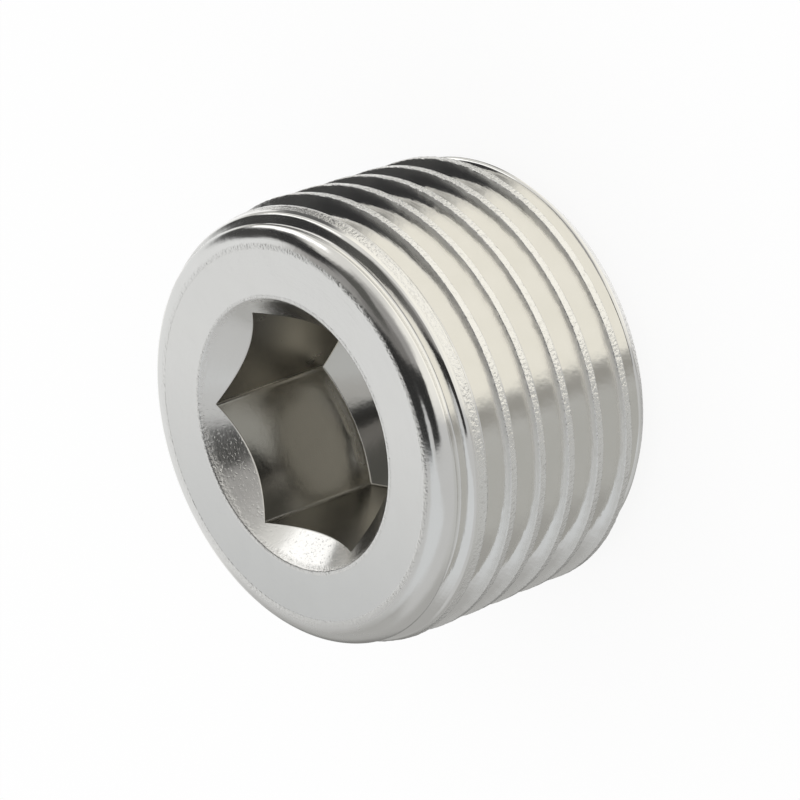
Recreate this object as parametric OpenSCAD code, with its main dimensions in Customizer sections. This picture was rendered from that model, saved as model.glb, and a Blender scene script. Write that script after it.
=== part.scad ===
// Countersunk pipe plug: a short taper-threaded brass plug with a hexagon socket sunk in its large end.
// It is one solid piece. The small end lies on z = 0, the axis is Z, and the socket opens at the top.

/* [Thread] */
// Diameter over the thread crests at the plane of the flat ring
thread_diameter = 20.98; // [19.6:0.02:24]
// Distance from one crest to the next along the axis
thread_pitch = 1.814; // [1.3:0.001:2.2]
// Length of axis over which the diameter shrinks by one millimetre
taper_length = 16; // [10:1:32]
// Angle between the two flanks of the thread
thread_angle = 55; // [50:1:70]
// Width of the flat land left on each crest
crest_width = 0.36; // [0.2:0.02:0.5]
// Width of the flat at the bottom of the groove
root_width = 0.33; // [0.2:0.01:0.5]
// Direction in which the thread groove runs out at the flat ring, counted from a corner of the hexagon
thread_turn = 70; // [0:1:359]
// How much shallower the groove is in the last turn below the flat ring, where the tool backs out
last_turn_lift = 0.2; // [0:0.05:0.6]

/* [Body] */
// Length from the small end to the socket end
plug_length = 13.25; // [12:0.05:18]
// Diameter of the flat ring round the socket, measured inside its rounded shoulder
face_diameter = 17.4; // [16:0.1:18]
// Radius of the rounded shoulder between the flat ring and the threads
shoulder_radius = 1.37; // [0.8:0.01:1.6]
// Angle between the axis and the short lead cone that carries the shoulder on to the full thread
lead_angle = 11.5; // [5:0.5:25]
// Diameter of the flat small end
tip_diameter = 17.9; // [15:0.1:18.4]
// Slope of the chamfer at the small end, measured from the flat small end
tip_angle = 50; // [30:1:60]

/* [Socket] */
// Width of the hexagon socket across its flats
hex_across_flats = 10.1; // [8:0.05:10.4]
// Depth of the hexagon socket, from the flat ring to the end of its six corners
hex_depth = 7.05; // [5:0.05:8]
// Diameter of the countersink where it meets the flat ring
countersink_diameter = 12.75; // [12.3:0.05:14]
// Angle across the countersink cone
countersink_angle = 90; // [80:1:120]
// Diameter of the flat in the middle of the socket floor
floor_flat_diameter = 5.7; // [3:0.1:7]
// Angle across the cone that joins that flat to the hexagon
floor_angle = 118; // [100:1:140]

/* [Hidden] */
$fn = 96;
thread_steps = 48;
shoulder_steps = 12;
lift_starts = 1.2;
lift_ends = 0.7;
beyond = 1;
flank_slope = tan(thread_angle / 2);
thread_depth = (thread_pitch - crest_width - root_width) / 2 / flank_slope;
over_crest = crest_width / 4 / flank_slope;
turns_below_face = ceil((plug_length + thread_pitch) / thread_pitch);
hex_corner_radius = hex_across_flats / 2 / cos(30);
floor_drop = (hex_corner_radius - floor_flat_diameter / 2) / tan(floor_angle / 2);
floor_z = plug_length - hex_depth - floor_drop;

// Radius over the crests at a height on the axis
function crest_radius(z) = (thread_diameter - (plug_length - z) / taper_length) / 2;

// How far the groove is lifted, by the number of turns it still has to go to the flat ring
function groove_lift(turns_left) =
    last_turn_lift * max(0, min(1, (lift_starts - turns_left) / (lift_starts - lift_ends)));

// The four corners of the groove at one step of its helix, from its lower mouth to its upper mouth
function groove_corner(k) = [
    [over_crest, -root_width / 2 - (thread_depth + over_crest) * flank_slope],
    [-thread_depth, -root_width / 2],
    [-thread_depth, root_width / 2],
    [over_crest, root_width / 2 + (thread_depth + over_crest) * flank_slope]
][k];

function groove_point(step, k) =
    let (
        turns = step / thread_steps - turns_below_face,
        angle = thread_turn + 360 * turns,
        z = plug_length + thread_pitch * turns + groove_corner(k)[1],
        r = crest_radius(z) + groove_corner(k)[0] + groove_lift(-turns)
    )
    [r * cos(angle), r * sin(angle), z];

// The helical groove that is cut from the blank, run out past both ends
module thread_groove() {
    steps = (turns_below_face + 1) * thread_steps;
    points = [for (step = [0:steps]) for (k = [0:3]) groove_point(step, k)];
    sides = [
        for (step = [0:steps - 1]) for (k = [0:3])
            let (a = 4 * step + k, b = 4 * step + (k + 1) % 4)
            each [[a, b + 4, b], [a, a + 4, b + 4]]
    ];
    polyhedron(points, concat([[0, 1, 2, 3]], sides, [[for (k = [3:-1:0]) 4 * steps + k]]));
}

// The body inside the rounded shoulder and its lead cone, which opens on down to the small end
module shoulder_body() {
    sweep = 90 - lead_angle;
    lead_radius = face_diameter / 2 + shoulder_radius * sin(sweep);
    lead_height = plug_length - shoulder_radius * (1 - cos(sweep));
    rotate_extrude()
        polygon(concat(
            [
                [0, 0],
                [lead_radius + lead_height * tan(lead_angle), 0]
            ],
            [
                for (i = [shoulder_steps:-1:0])
                    let (angle = sweep * i / shoulder_steps)
                    [
                        face_diameter / 2 + shoulder_radius * sin(angle),
                        plug_length - shoulder_radius * (1 - cos(angle))
                    ]
            ],
            [[0, plug_length]]
        ));
}

// The turned blank: the taper, with a rounded shoulder at the large end and a chamfer at the small end
module blank() {
    intersection() {
        cylinder(r1 = crest_radius(0), r2 = crest_radius(plug_length), h = plug_length);
        cylinder(r1 = tip_diameter / 2, r2 = tip_diameter / 2 + plug_length / tan(tip_angle), h = plug_length);
        shoulder_body();
    }
}

// The hexagon socket: its six walls end on a cone with a flat in the middle
module hexagon_socket() {
    intersection() {
        translate([0, 0, floor_z])
            cylinder(r = hex_corner_radius, h = plug_length - floor_z + beyond, $fn = 6);
        rotate_extrude()
            polygon([
                [0, floor_z],
                [floor_flat_diameter / 2, floor_z],
                [hex_corner_radius + beyond, floor_z + floor_drop + beyond / tan(floor_angle / 2)],
                [hex_corner_radius + beyond, plug_length + 2 * beyond],
                [0, plug_length + 2 * beyond]
            ]);
    }
}

// The countersink round the mouth of the socket
module countersink() {
    slope = tan(countersink_angle / 2);
    depth = countersink_diameter / 2 / slope;
    translate([0, 0, plug_length - depth])
        cylinder(r1 = 0, r2 = countersink_diameter / 2 + beyond * slope, h = depth + beyond);
}

module plug() {
    color("silver")
        difference() {
            blank();
            thread_groove();
            hexagon_socket();
            countersink();
        }
}

plug();
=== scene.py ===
import math

import bpy
from mathutils import Matrix, Vector, noise


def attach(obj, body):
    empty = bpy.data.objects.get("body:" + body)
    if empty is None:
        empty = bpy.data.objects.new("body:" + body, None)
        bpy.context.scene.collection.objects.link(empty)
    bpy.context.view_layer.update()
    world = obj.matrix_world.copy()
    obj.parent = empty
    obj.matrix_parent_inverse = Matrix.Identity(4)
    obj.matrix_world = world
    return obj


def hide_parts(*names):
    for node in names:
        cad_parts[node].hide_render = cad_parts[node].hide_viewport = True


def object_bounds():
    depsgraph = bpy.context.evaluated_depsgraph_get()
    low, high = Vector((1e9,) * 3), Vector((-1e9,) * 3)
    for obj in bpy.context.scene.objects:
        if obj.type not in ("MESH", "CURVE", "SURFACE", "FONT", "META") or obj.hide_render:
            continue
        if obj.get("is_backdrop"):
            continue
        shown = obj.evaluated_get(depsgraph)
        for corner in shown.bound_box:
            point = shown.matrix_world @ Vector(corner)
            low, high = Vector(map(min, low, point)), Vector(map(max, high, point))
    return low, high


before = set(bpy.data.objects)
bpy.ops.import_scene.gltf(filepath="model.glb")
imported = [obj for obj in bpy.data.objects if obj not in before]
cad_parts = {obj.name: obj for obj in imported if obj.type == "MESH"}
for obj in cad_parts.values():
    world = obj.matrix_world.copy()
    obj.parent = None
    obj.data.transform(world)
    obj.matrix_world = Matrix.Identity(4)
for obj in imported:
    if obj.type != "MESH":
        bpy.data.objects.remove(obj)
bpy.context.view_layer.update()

# The plug. The real one is a single piece of brass bar, turned to a taper, threaded with a tool
# that tears the crests a little, broached for a hexagon key and nickel plated all over. Its skin
# is one closed surface of rings and thread turns. Sizes are in millimetres, depths from the ring.
length = 13.25
columns = 300
angles = [2 * math.pi * i / columns for i in range(columns)]
points, faces = [], []
finishes = {name: [] for name in ("wear", "ring_face", "socket", "worn_edge", "satin", "pitting")}


def add_point(r, angle, depth, **finish):
    """A point of the skin, in metres, and how much of each finish it has, from 0 to 1."""
    points.append((r * math.cos(angle) / 1000, r * math.sin(angle) / 1000, (length - depth) / 1000))
    for name, amounts in finishes.items():
        amounts.append(finish.get(name, 0))
    return len(points) - 1


def add_face(corners):
    """A face of the skin, without corners that fall together, or none if too few are left."""
    corners = [c for n, c in enumerate(corners) if c not in corners[:n]]
    if len(corners) > 2:
        faces.append(corners)


def bridge(upper, lower):
    """A band of faces between two rings of points."""
    for i in range(columns):
        j = (i + 1) % columns
        add_face([upper[i], lower[i], lower[j], upper[j]])


# The turned blank: the taper over the crests, the rounded shoulder that runs on into a short lead
# cone, and the chamfer at the small end.
crest_radius = 10.49
taper = 1 / 32
ring_radius = 8.70
shoulder_radius = 1.37
lead_depth, lead_radius, lead_slope = 1.097, 10.0425, 0.203
tip_radius, tip_slope = 8.95, 0.84
blank_rounding, groove_rounding = 0.05, 0.04


def soft_min(a, b, width):
    """The smaller of two radii, with the corner between them rounded over a width."""
    near = max(width - abs(a - b), 0) / width
    return min(a, b) - near * near * width / 4


def shoulder_arc(depth):
    """Radius of the rounded shoulder."""
    return ring_radius + math.sqrt(shoulder_radius ** 2 - (shoulder_radius - depth) ** 2)


def blank_surface(depth):
    """Radius of the whole blank before the thread is cut."""
    r = shoulder_arc(depth) if depth < lead_depth else lead_radius + (depth - lead_depth) * lead_slope
    r = soft_min(r, crest_radius - depth * taper, blank_rounding)
    return soft_min(r, tip_radius + (length - depth) * tip_slope, blank_rounding)


# The thread. Its profile lists the angle between the skin and a plane across the axis, by the
# distance along the axis from the middle of a crest land: land, rounded edge, flank, round root.
pitch = 1.814
exit_angle = math.radians(70)
run_out_lift, lift_starts, lift_length = 0.2, 1.2, 0.5
profile = (
    (0, 90), (0.11, 87), (0.145, 80), (0.165, 64), (0.18, 46), (0.20, 34), (0.23, 28.5), (0.28, 27.2),
    (0.45, 26.8), (0.69, 26.8), (0.72, 36), (0.75, 58), (0.79, 82), (0.907, 89.9),
)
steps_per_mm, profile_steps = 1000, 907
profile_end = (profile_steps - 1) / steps_per_mm
drops = [0.0]
for i in range(profile_steps):
    x = (i + 0.5) / steps_per_mm
    for (x0, lean0), (x1, lean1) in zip(profile, profile[1:]):
        if x0 <= x <= x1:
            lean = lean0 + (lean1 - lean0) * (x - x0) / (x1 - x0)
    drops.append(drops[-1] + 1 / steps_per_mm / math.tan(math.radians(lean)))

# The tool tore the crests: their edges wander, are pitted and carry a thin burr.
land_half = 0.22
torn_width = 0.34
wander = 0.017
pit_height = 0.010
burr_height, burr_place, burr_width = 0.022, 0.155, 0.035

# The flanks beside the crests and the shoulder are rubbed, on some sides more than on others, as
# the photograph shows. The sides are angles round the axis.
rubbed_half = 0.37
most_rubbed, least_rubbed, least_rubbed_width = 3.4, 5.1, 0.65
dull_side = 1.83
plain_satin = 0.12

# The shoulder itself is smooth and satin. Below it the relief, the torn crests and the rubbing come
# in, and the satin goes out, each from its own depth and over its own band. Where the thread would
# lie well clear of the blank, the blank has no relief.
relief_start, relief_band = 1.2, 0.5
crest_start, crest_band = 1.3, 0.3
rubbing_start, rubbing_band = 1.4, 0.5
satin_end, satin_band = 1.7, 0.4
clear_of_blank = 0.3


def part(value):
    """A value held between 0 and 1."""
    return min(1, max(0, value))


def dullness(angle):
    """The satin finish of the shoulder, strongest on its dull side."""
    return 0.1 + 0.5 * max(0, math.cos(angle - dull_side)) ** 3


def flank_wear(angle):
    """How much of the rubbing the flanks took on each side of the plug."""
    fresh = 1 - 0.85 * max(0, 1 - ((angle - least_rubbed) / least_rubbed_width) ** 2)
    return fresh * min(1, 0.7 + 0.5 * math.cos(angle - most_rubbed))


def thread_surface(angle, depth):
    """Radius of the skin at an angle and a depth, how much of a torn crest it is, and how satin."""
    turns = (exit_angle - angle) / (2 * math.pi)
    step = depth / pitch - turns
    groove = math.floor(step + 0.5)
    from_crest = pitch / 2 - abs(step - groove) * pitch
    place = Vector((10 * math.cos(angle), 10 * math.sin(angle), depth))
    torn = max(0, 1 - from_crest / torn_width)
    ragged = noise.noise(place * 3.1) + noise.noise(place * 7.3 + Vector((7, 3, 1)))
    shifted = min(profile_end, max(0, from_crest + wander * ragged * min(1, torn * 2)))
    lift = run_out_lift * part((lift_starts - turns - groove) / lift_length)
    cut = crest_radius - depth * taper - drops[int(shifted * steps_per_mm)] + lift
    blank = blank_surface(depth)
    burr = burr_height * max(0, 1 - abs(shifted - burr_place) / burr_width)
    relief = burr * (0.6 + 0.8 * noise.noise(place * 5.3))
    relief += pit_height * noise.noise(place * 4.3 + Vector((2, 9, 4))) * min(1, torn * 1.5)
    if cut >= blank + clear_of_blank:
        relief = 0
    relief *= part((depth - relief_start) / relief_band)
    crest = part((land_half - from_crest) / 0.05) * part((depth - crest_start) / crest_band)
    rubbed = part((rubbed_half + 0.02 * ragged - from_crest) / 0.14)
    rubbed *= part((depth - rubbing_start) / rubbing_band)
    satin = max(rubbed * flank_wear(angle), dullness(angle) * part((satin_end - depth) / satin_band))
    return soft_min(blank, cut, groove_rounding) + relief, crest, satin


# The thread turns: rows follow the helix and end on one plain ring at each end of the plug.
half_turn = (
    0, 0.06, 0.11, 0.145, 0.165, 0.18, 0.20, 0.23, 0.28, 0.36, 0.45, 0.54, 0.62, 0.69, 0.72, 0.75, 0.79,
    0.85, 0.907,
)
row_steps = list(half_turn) + [pitch - s for s in reversed(half_turn[1:-1])]
rows = len(row_steps)
first_depth, last_depth = 0.16, length - 0.10
nearest_row = 0.004
first_ring = [add_point(thread_surface(a, first_depth)[0], a, first_depth, satin=plain_satin) for a in angles]
last_ring = [add_point(thread_surface(a, last_depth)[0], a, last_depth, satin=plain_satin) for a in angles]
helix = {}


def helix_point(i, k):
    """The point in column i and row k of the helix. A full turn on, the rows have moved one pitch."""
    if i == columns:
        i, k = 0, k - rows
    if (i, k) not in helix:
        turns = (exit_angle - angles[i]) / (2 * math.pi)
        depth = pitch * (turns - 0.5 + k // rows) + row_steps[k % rows]
        if depth <= first_depth + nearest_row:
            helix[i, k] = first_ring[i]
        elif depth >= last_depth - nearest_row:
            helix[i, k] = last_ring[i]
        else:
            r, crest, satin = thread_surface(angles[i], depth)
            helix[i, k] = add_point(r, angles[i], depth, wear=crest, satin=satin)
    return helix[i, k]


for k in range(-rows - 2, int((length / pitch + 2) * rows)):
    for i in range(columns):
        add_face([helix_point(i, k), helix_point(i, k + 1), helix_point(i + 1, k + 1), helix_point(i + 1, k)])

# The top of the shoulder, worn where it meets the ring.
shoulder_rings, worn_rings = 9, 4
edge = first_ring
for t in range(shoulder_rings - 1, -1, -1):
    depth = first_depth * (t / shoulder_rings) ** 2
    worn = 1 if t < worn_rings else 0
    ring = [add_point(shoulder_arc(depth), a, depth, worn_edge=worn, satin=dullness(a)) for a in angles]
    bridge(ring, edge)
    edge = ring

# The flat ring, and the worn rim where it meets the countersink.
rim_radius = 6.37
mouth_radius = rim_radius - 0.035
for r in (8.66, 8.5, 8.0, 7.5, 7.0, 6.58):
    ring = [add_point(r, a, 0, ring_face=1) for a in angles]
    bridge(ring, edge)
    edge = ring
for r, depth in (
    (6.50, 0), (rim_radius + 0.05, 0), (rim_radius + 0.02, 0.004), (rim_radius - 0.01, 0.022),
    (mouth_radius, 0.05),
):
    ring = [add_point(r, a, depth, worn_edge=1, satin=0.3, pitting=0.2) for a in angles]
    bridge(ring, edge)
    edge = ring

# The countersink, pitted where the broach pushed into it. It ends on the hexagon's six walls.
corner_radius = 5.831
flat_radius = corner_radius * math.cos(math.pi / 6)
walls = [flat_radius / math.cos(a % (math.pi / 3) - math.pi / 6) for a in angles]
cone_radius = rim_radius + 0.015
edge_drop = 0.008
for t in (0.06, 0.2, 0.4, 0.6, 0.8, 0.95, 0.988, 1.0):
    ring = []
    for a, wall in zip(angles, walls):
        r = mouth_radius + (wall - mouth_radius) * t
        depth = cone_radius - r + (edge_drop if t == 1 else 0)
        ring.append(add_point(
            r, a, depth, socket=max(0, t - 0.98) / 0.02, worn_edge=1 if t < 0.1 else 0, satin=0.35,
            pitting=1 if t < 0.98 else 0,
        ))
    bridge(ring, edge)
    edge = ring

# The six walls, from just below the countersink to the floor. The broach left a bright curl of metal
# along the foot of the first one, and its strokes left the others duller.
corner_depth = 7.05
floor_slope = 1 / math.tan(math.radians(59))
wall_cone_radius = rim_radius + 0.035
first_wall_end, last_wall_start = math.pi / 3, 5 * math.pi / 3
curl_size, bright_curl = 0.08, 0.03
for t in (0.002, 0.03, 0.15, 0.35, 0.55, 0.75, 0.9, 0.97, 0.99, 1.0):
    ring = []
    for a, wall in zip(angles, walls):
        top = wall_cone_radius - wall
        bottom = corner_depth + (corner_radius - wall) * floor_slope
        curl = 0
        if a < first_wall_end:
            curl = curl_size * max(0, 0.75 + noise.noise(Vector((7 * a, 3, 1)))) * max(0, math.sin(3 * a))
        bright = min(1, curl / bright_curl) if t >= 0.97 else 0
        brushed = 0.45 if a > last_wall_start else 0.35 if a > first_wall_end else 0
        ring.append(add_point(
            wall - (curl if t == 0.99 else 0), a, top + (bottom - top) * t, socket=1 - bright,
            satin=max(brushed, 0.8 * bright),
        ))
    bridge(ring, edge)
    edge = ring

# The floor: a cone, a flat in its middle, and a fine groove round the flat.
floor_flat_radius = 2.85
groove_width, groove_sunk = 0.12, 0.09
for t in (0.03, 0.15, 0.4, 0.7, 1.0):
    ring = []
    for a, wall in zip(angles, walls):
        r = wall + (floor_flat_radius + groove_width - wall) * t
        ring.append(add_point(r, a, corner_depth + (corner_radius - r) * floor_slope, socket=1))
    bridge(ring, edge)
    edge = ring
floor_depth = corner_depth + (corner_radius - floor_flat_radius) * floor_slope
for r, sunk in (
    (floor_flat_radius + 0.05, groove_sunk), (floor_flat_radius, 0), (2.2, 0), (1.6, 0), (0.8, 0),
):
    ring = [add_point(r, a, floor_depth + sunk, socket=1) for a in angles]
    bridge(ring, edge)
    edge = ring
middle = add_point(0, 0, floor_depth, socket=1)
for i in range(columns):
    add_face([middle, edge[i], edge[(i + 1) % columns]])

# The small end, which the plug stands on.
edge = last_ring
for r, lift in (
    (tip_radius + 0.03, 0.035), (tip_radius - 0.02, 0.004), (tip_radius - 0.07, 0), (8.6, 0), (7, 0), (5, 0),
    (3, 0), (1.2, 0),
):
    ring = [add_point(r, a, length - lift, ring_face=1 if lift == 0 else 0) for a in angles]
    bridge(edge, ring)
    edge = ring
middle = add_point(0, 0, length, ring_face=1)
for i in range(columns):
    add_face([edge[i], middle, edge[(i + 1) % columns]])

skin = bpy.data.meshes.new("plug_skin")
skin.from_pydata(points, [], faces)
skin.polygons.foreach_set("use_smooth", [True] * len(skin.polygons))
for name, amounts in finishes.items():
    skin.attributes.new(name, "FLOAT", "POINT").data.foreach_set("value", amounts)
plug = bpy.data.objects.new("nickel_plug", skin)
bpy.context.scene.collection.objects.link(plug)

# The plating: bright nickel, matt on the torn crests, satin on the ring and where it was rubbed.
# Deep in the socket its colour is painted darker: painted shade.
nickel = bpy.data.materials.new("nickel_plate")
nickel.use_nodes = True
plating = nickel.node_tree
shader = plating.nodes["Principled BSDF"]
shader.inputs["Metallic"].default_value = 1
where = plating.nodes.new("ShaderNodeTexCoord").outputs["Object"]


def remap(value, low, high, to_low, to_high):
    """A value stretched from one span to another, and held to it."""
    node = value.id_data.nodes.new("ShaderNodeMapRange")
    value.id_data.links.new(value, node.inputs["Value"])
    for key, number in (("From Min", low), ("From Max", high), ("To Min", to_low), ("To Max", to_high)):
        node.inputs[key].default_value = number
    return node.outputs["Result"]


def calc(operation, *values):
    """A Math node in the tree that its inputs come from. Plain numbers go on its sockets."""
    tree = next(value.id_data for value in values if not isinstance(value, (int, float)))
    node = tree.nodes.new("ShaderNodeMath")
    node.operation = operation
    for inlet, value in zip(node.inputs, values):
        if isinstance(value, (int, float)):
            inlet.default_value = value
        else:
            tree.links.new(value, inlet)
    return node.outputs["Value"]


def without(value):
    """What a mask leaves over."""
    return calc("SUBTRACT", 1, value)


def blend(factor, first, second):
    """One colour laid over another by a factor. A colour is a node's output or three numbers."""
    tree = factor.id_data
    node = tree.nodes.new("ShaderNodeMix")
    node.data_type = "RGBA"
    tree.links.new(factor, node.inputs["Factor"])
    for inlet, colour in ((node.inputs["A"], first), (node.inputs["B"], second)):
        if isinstance(colour, tuple):
            inlet.default_value = (*colour, 1)
        else:
            tree.links.new(colour, inlet)
    return node.outputs["Result"]


def finish_mask(name):
    """How much of a finish each point of the skin has."""
    node = plating.nodes.new("ShaderNodeAttribute")
    node.attribute_name = name
    return node.outputs["Fac"]


def grain(scale, detail, low=0.35, high=0.65):
    """Noise of a given scale, stretched so that low becomes 0 and high becomes 1."""
    node = plating.nodes.new("ShaderNodeTexNoise")
    node.inputs["Scale"].default_value = scale
    node.inputs["Detail"].default_value = detail
    plating.links.new(where, node.inputs["Vector"])
    return remap(node.outputs["Fac"], low, high, 0, 1)


# Turning marks: noise that runs round the axis, so it changes with radius and height and little else.
marks_scale, marks_round = 9000, 6
spot = plating.nodes.new("ShaderNodeSeparateXYZ")
plating.links.new(where, spot.inputs["Vector"])
spot_x, spot_y, spot_z = spot.outputs
off_axis = calc("SQRT", calc("ADD", calc("MULTIPLY", spot_x, spot_x), calc("MULTIPLY", spot_y, spot_y)))
swept = plating.nodes.new("ShaderNodeCombineXYZ")
plating.links.new(calc("MULTIPLY", off_axis, marks_scale), swept.inputs["X"])
plating.links.new(calc("MULTIPLY", spot_z, marks_scale), swept.inputs["Y"])
plating.links.new(calc("MULTIPLY", calc("ARCTAN2", spot_y, spot_x), marks_round), swept.inputs["Z"])
marks = plating.nodes.new("ShaderNodeTexNoise")
marks.inputs["Scale"].default_value = 1
marks.inputs["Detail"].default_value = 1
plating.links.new(swept.outputs["Vector"], marks.inputs["Vector"])
turning = marks.outputs["Fac"]

crest_mask, ring_mask, socket_shade_and_finish_mask, edge_mask, satin_mask, pitting_mask = map(finish_mask, finishes)
rubbed_mask = calc("MULTIPLY", satin_mask, without(crest_mask))
rough_mask = calc("MAXIMUM", crest_mask, calc("MULTIPLY", edge_mask, 0.42))
cloud, speck, pits = grain(700, 3, 0.22, 0.78), grain(6500, 3), grain(5200, 2, 0.55, 0.75)
dents = grain(9000, 1, 0.6, 0.8)

# Its colour. The ring is painted darker towards one side: painted shade, standing in for the light falling
# off across it.
painted_ring_shade = remap(spot_y, -0.002, 0.009, 0, 1)
colour = blend(cloud, (0.845, 0.835, 0.805), (0.875, 0.865, 0.84))
colour = blend(calc("MULTIPLY", rough_mask, calc("MULTIPLY", pits, 0.4)), colour, (0.55, 0.53, 0.50))
# Painted shade: the flat ring, and the flat of the small end, turn darker grey towards one side.
colour = blend(calc("MULTIPLY", ring_mask, painted_ring_shade), colour, (0.665, 0.665, 0.65))
colour = blend(calc("MULTIPLY", rubbed_mask, calc("MULTIPLY", cloud, 0.15)), colour, (0.62, 0.58, 0.51))
# Painted shade: the walls and floor of the socket, and the foot of the countersink, are coloured darker, less
# so on the bright curl.
colour = blend(socket_shade_and_finish_mask, colour, (0.62, 0.603, 0.56))
plating.links.new(colour, shader.inputs["Base Color"])

# Its roughness: each finish adds its own to the polish.
roughness = calc("ADD", 0.07, calc("MULTIPLY", cloud, 0.04))
for mask, added in (
    (ring_mask, 0.10), (rough_mask, calc("ADD", 0.10, calc("MULTIPLY", speck, 0.12))), (socket_shade_and_finish_mask, 0.05),
    (rubbed_mask, 0.32),
):
    roughness = calc("ADD", roughness, calc("MULTIPLY", mask, added))
plating.links.new(roughness, shader.inputs["Roughness"])

# Its relief, in hundredths of a millimetre.
relief = calc("MULTIPLY", speck, calc("ADD", 0.05, calc("MULTIPLY", rough_mask, 1.4)))
for pattern, amount in (
    (pits, calc("MULTIPLY", rough_mask, -0.9)), (cloud, 0.78), (dents, calc("MULTIPLY", pitting_mask, 0.42)),
    (turning, calc("SUBTRACT", 0.22, calc("MULTIPLY", socket_shade_and_finish_mask, 0.22))),
):
    relief = calc("ADD", relief, calc("MULTIPLY", pattern, amount))
bump = plating.nodes.new("ShaderNodeBump")
bump.inputs["Strength"].default_value = 1
bump.inputs["Distance"].default_value = 0.00001
plating.links.new(relief, bump.inputs["Height"])
plating.links.new(bump.outputs["Normal"], shader.inputs["Normal"])
skin.materials.append(nickel)
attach(plug, "root")
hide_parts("plug")

# The table. A plain white sheet of paper under the plug, which keeps its soft shadow. To the camera
# most of it is its own white. Polished metal shows the cards below in place of it.
sheet_mesh = bpy.data.meshes.new("sheet")
reach = 2
corners = [(-reach, -reach, 0), (reach, -reach, 0), (reach, reach, 0), (-reach, reach, 0)]
sheet_mesh.from_pydata(corners, [], [(0, 1, 2, 3)])
sheet = bpy.data.objects.new("sheet", sheet_mesh)
bpy.context.scene.collection.objects.link(sheet)
sheet.visible_glossy = False
paper = bpy.data.materials.new("white_paper")
paper.use_nodes = True
sheet_tree = paper.node_tree
matt = sheet_tree.nodes["Principled BSDF"]
matt.inputs["Base Color"].default_value = (0.97, 0.97, 0.97, 1)
matt.inputs["Roughness"].default_value = 0.9
matt.inputs["Specular IOR Level"].default_value = 0.0
own_white = 0.85
glow = sheet_tree.nodes.new("ShaderNodeEmission")
to_camera = sheet_tree.nodes.new("ShaderNodeLightPath").outputs["Is Camera Ray"]
shared = sheet_tree.nodes.new("ShaderNodeMixShader")
sheet_tree.links.new(calc("MULTIPLY", to_camera, own_white), shared.inputs["Fac"])
sheet_tree.links.new(matt.outputs["BSDF"], shared.inputs[1])
sheet_tree.links.new(glow.outputs["Emission"], shared.inputs[2])
sheet_tree.links.new(shared.outputs["Shader"], sheet_tree.nodes["Material Output"].inputs["Surface"])
sheet_mesh.materials.append(paper)
sheet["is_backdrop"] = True

# The light. A plain white world lights everything. Polished metal shows a studio's cards in place
# of it: a warm white side, a grey side, a dark roof, black flags and one narrow strip of light.
room = bpy.data.worlds.new("light_tent")
bpy.context.scene.world = room
room.use_nodes = True
tent = room.node_tree
direction = tent.nodes.new("ShaderNodeTexCoord").outputs["Generated"]
split = tent.nodes.new("ShaderNodeSeparateXYZ")
tent.links.new(direction, split.inputs["Vector"])
x, y, z = split.outputs
in_degrees = 180 / math.pi
front_x, front_y = 0.1736, -0.9848
height_angle = calc("MULTIPLY", calc("ARCSINE", z), in_degrees)
across = calc("ADD", calc("MULTIPLY", x, front_x), calc("MULTIPLY", y, front_y))
along = calc("ADD", calc("MULTIPLY", x, -front_y), calc("MULTIPLY", y, front_x))
turn_angle = calc("MULTIPLY", calc("ARCTAN2", along, across), in_degrees)


def rise(value, low, high):
    """0 below one limit and 1 above another, smooth between them."""
    node = tent.nodes.new("ShaderNodeMapRange")
    node.interpolation_type = "SMOOTHSTEP"
    tent.links.new(value, node.inputs["Value"])
    node.inputs["From Min"].default_value = low
    node.inputs["From Max"].default_value = high
    return node.outputs["Result"]


def stretch(value, low, high, soft):
    """1 between two limits, with soft edges."""
    beyond = rise(value, high - soft, high + soft)
    return calc("MULTIPLY", rise(value, low - soft, low + soft), without(beyond))


def toward(axis):
    """How nearly a ray runs along an axis: 1 along it, 0 square to it."""
    node = tent.nodes.new("ShaderNodeVectorMath")
    node.operation = "DOT_PRODUCT"
    tent.links.new(direction, node.inputs[0])
    node.inputs[1].default_value = axis
    return node.outputs["Value"]


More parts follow.
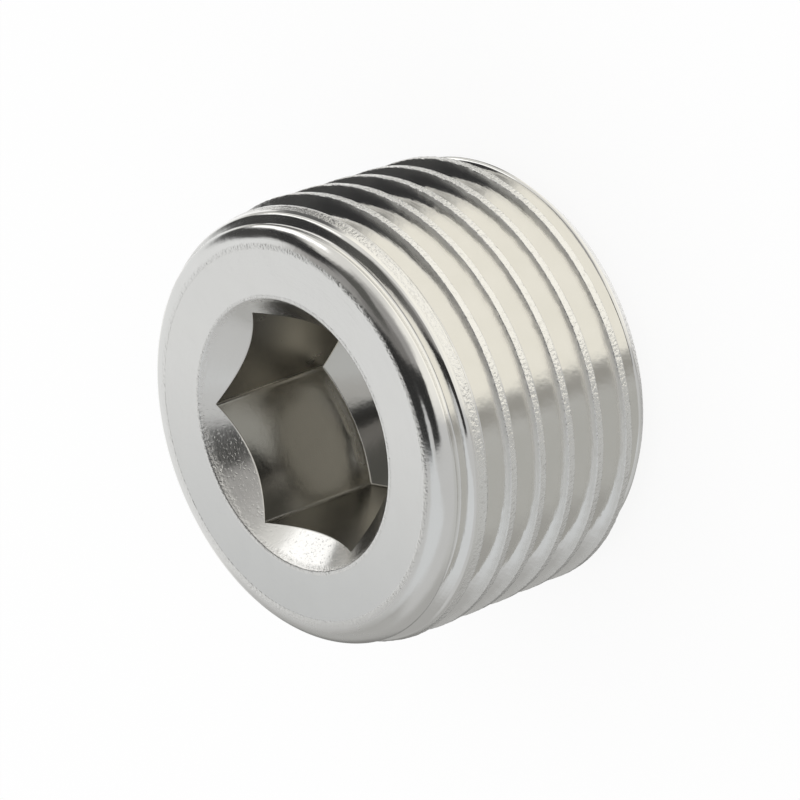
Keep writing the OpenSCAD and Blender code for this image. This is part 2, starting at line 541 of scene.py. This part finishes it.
# Each card: its turns from and to, its heights from and to, how soft its edges are, all in degrees,
# and its tone. Turns are counted round from the middle of the bright side. Later ones hide earlier.
tone = (0.57, 0.575, 0.58)
for turn_low, turn_high, low, high, soft, card in (
    # The grey side and its dark gap.
    (140, 200, 38, 80, 6, (0.66, 0.68, 0.70)),
    (-200, -145, 38, 80, 6, (0.66, 0.68, 0.70)),
    (128, 158, 6, 34, 5, (0.42, 0.42, 0.415)),
    (-200, -110, -95, 6, 8, (0.53, 0.535, 0.53)),
    (-200, -164, -95, 6, 8, (0.43, 0.43, 0.425)),
    (116, 200, -95, 8, 9, (0.42, 0.42, 0.415)),
    (115, 140, -95, -14, 6, (0.19, 0.19, 0.185)),
    # The warm white side, brightest low down and at its two ends.
    (-92, 112, -95, 95, 3, (0.76, 0.755, 0.735)),
    (-85, -32, -95, 48, 8, (0.93, 0.92, 0.88)),
    (-92, 14, -95, -8, 6, (1.06, 1.04, 0.97)),
    (-106, -94, -60, -4, 5, (0.38, 0.375, 0.36)),
    (66, 112, -95, -12, 5, (1.02, 1.02, 1.02)),
    (66, 112, -12, 46, 5, (0.79, 0.80, 0.81)),
    # The dark roof over it, in four steps.
    (-58, 5, 39, 50, 5, (0.48, 0.475, 0.465)),
    (-70, 88, 46, 95, 4, (0.33, 0.325, 0.32)),
    (-60, 82, 63, 95, 4, (0.20, 0.195, 0.19)),
    (0, 44, 50, 74, 5, (0.10, 0.10, 0.095)),
    # The black flag beside the thread, and a grey one under it.
    (36, 66, 12, 56, 5, (0.035, 0.035, 0.036)),
    (52, 74, 4, 36, 5, (0.06, 0.06, 0.06)),
    (20, 60, -34, -8, 7, (0.12, 0.12, 0.12)),
):
    width = stretch(turn_angle, turn_low, turn_high, soft)
    tone = blend(calc("MULTIPLY", width, stretch(height_angle, low, high, soft)), tone, card)

# The black flag that the shoulder and the countersink show. It hangs high, is cut off straight on
# two sides, and leaves a round hole over the socket.
one_side = rise(toward((0.139, -0.958, 0.253)), -0.03, 0.03)
other_side = rise(toward((0.39, -0.92, 0)), 0.12, 0.19)
hole = rise(toward((-0.2095, 0.121, 0.9703)), 0.9863, 0.9936)
flag = calc("MULTIPLY", one_side, without(other_side))
flag = calc("MULTIPLY", flag, rise(height_angle, 39, 50))
flag = calc("MULTIPLY", flag, without(hole))
tone = blend(flag, tone, (0.03, 0.03, 0.03))

# The strip of light that the edge of the shoulder shows.
strip_width = stretch(toward((0.152, 0.616, 0.774)), -0.09, 0.09, 0.03)
strip_length = rise(toward((0.698, -0.621, 0.357)), 0.92, 0.95)
tone = blend(calc("MULTIPLY", strip_width, strip_length), tone, (1.4, 1.4, 1.4))

# Only glossy rays see the cards. The world's own light map would ignore that, so it is left out.
to_metal = tent.nodes.new("ShaderNodeLightPath").outputs["Is Glossy Ray"]
background = tent.nodes["Background"]
background.inputs["Strength"].default_value = 1
tent.links.new(blend(to_metal, (1.0, 1.0, 1.0), tone), background.inputs["Color"])
room.cycles.sampling_method = "NONE"

# The camera, far off with a long lens, above the socket end and turned as the photograph shows it.
# Its axes and its place were fitted to the photograph's outline, crests, ring and hexagon.
camera_data = bpy.data.cameras.new("camera")
camera_data.lens = 540
camera_data.sensor_width = 36
camera_data.clip_start = 0.01
camera_data.clip_end = 100
camera = bpy.data.objects.new("camera", camera_data)
bpy.context.scene.collection.objects.link(camera)
camera.matrix_world = Matrix((
    (-0.67267921, 0.21620921, -0.70764133, -0.38467496),
    (0.05177189, -0.94026048, -0.33649652, -0.18278766),
    (-0.73812082, -0.26299014, 0.62130012, 0.34445075),
    (0, 0, 0, 1),
))
bpy.context.scene.camera = camera
bpy.context.scene.view_settings.view_transform = "Standard"

low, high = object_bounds()
